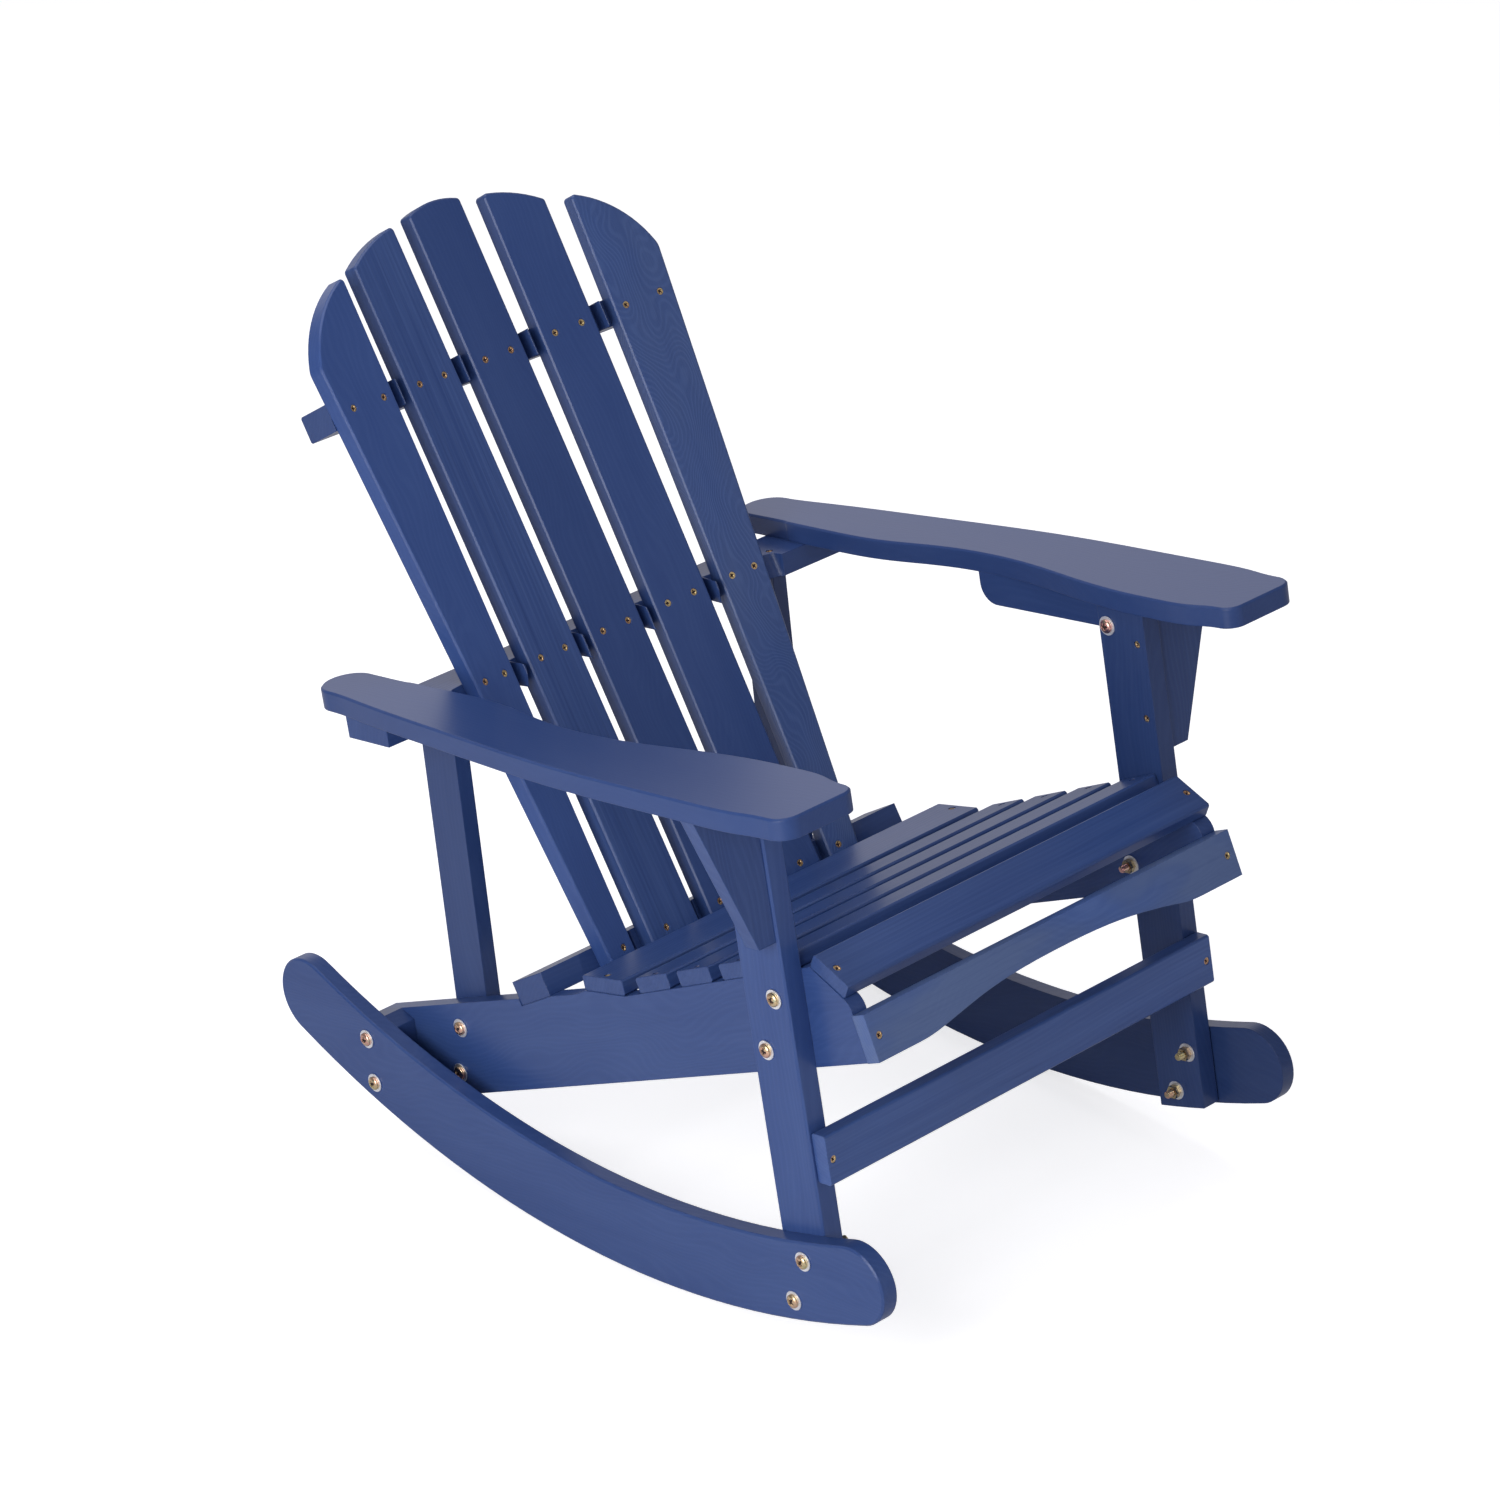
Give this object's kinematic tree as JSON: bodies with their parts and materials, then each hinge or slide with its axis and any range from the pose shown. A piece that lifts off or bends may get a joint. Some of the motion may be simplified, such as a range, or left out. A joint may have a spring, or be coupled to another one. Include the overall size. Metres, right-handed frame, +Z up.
{
  "type": "rocking adirondack chair",
  "caption": "Rocking adirondack chair of painted wooden boards: fanned, forward-curving slatted back with a rounded crown, sloping slatted seat, wide curved arms and two bowed rockers",
  "frame": {"origin": "on the floor, midway across the chair and midway between its foremost and rearmost points, at the height of the rockers' contact with the floor", "axes": "+X is the sitter's left, -Y is the way the chair faces, +Z is up"},
  "size_m": [0.738, 0.9805, 0.9462],
  "materials": {
    "painted_wood": "satin",
    "bolt_steel": "polished",
    "washer_steel": "satin",
    "nut_steel": "satin",
    "screw_brass": "satin"
  },
  "bodies": {
    "root": {"arm_bracket_left": "painted_wood", "arm_bracket_right": "painted_wood", "arm_cleat_left": "painted_wood", "arm_cleat_right": "painted_wood", "arm_cross_beam": "painted_wood", "arm_left": "painted_wood", "arm_right": "painted_wood", "back_slat_1": "painted_wood", "back_slat_2": "painted_wood", "back_slat_3": "painted_wood", "back_slat_4": "painted_wood", "back_slat_5": "painted_wood", "bolt_nuts": "nut_steel", "bolt_washers": "washer_steel", "frame_bolts": "bolt_steel", "front_apron": "painted_wood", "front_leg_left": "painted_wood", "front_leg_right": "painted_wood", "front_stretcher": "painted_wood", "lower_back_rail": "painted_wood", "rear_post_left": "painted_wood", "rear_post_right": "painted_wood", "rear_spacer_left": "painted_wood", "rear_spacer_right": "painted_wood", "rocker_left": "painted_wood", "rocker_right": "painted_wood", "seat_slat_2": "painted_wood", "seat_slat_3": "painted_wood", "seat_slat_4": "painted_wood", "seat_slat_5": "painted_wood", "seat_slat_front": "painted_wood", "seat_slat_rear": "painted_wood", "side_rail_left": "painted_wood", "side_rail_right": "painted_wood", "top_back_rail": "painted_wood", "wood_screws": "screw_brass"}
  },
  "joints": []
}
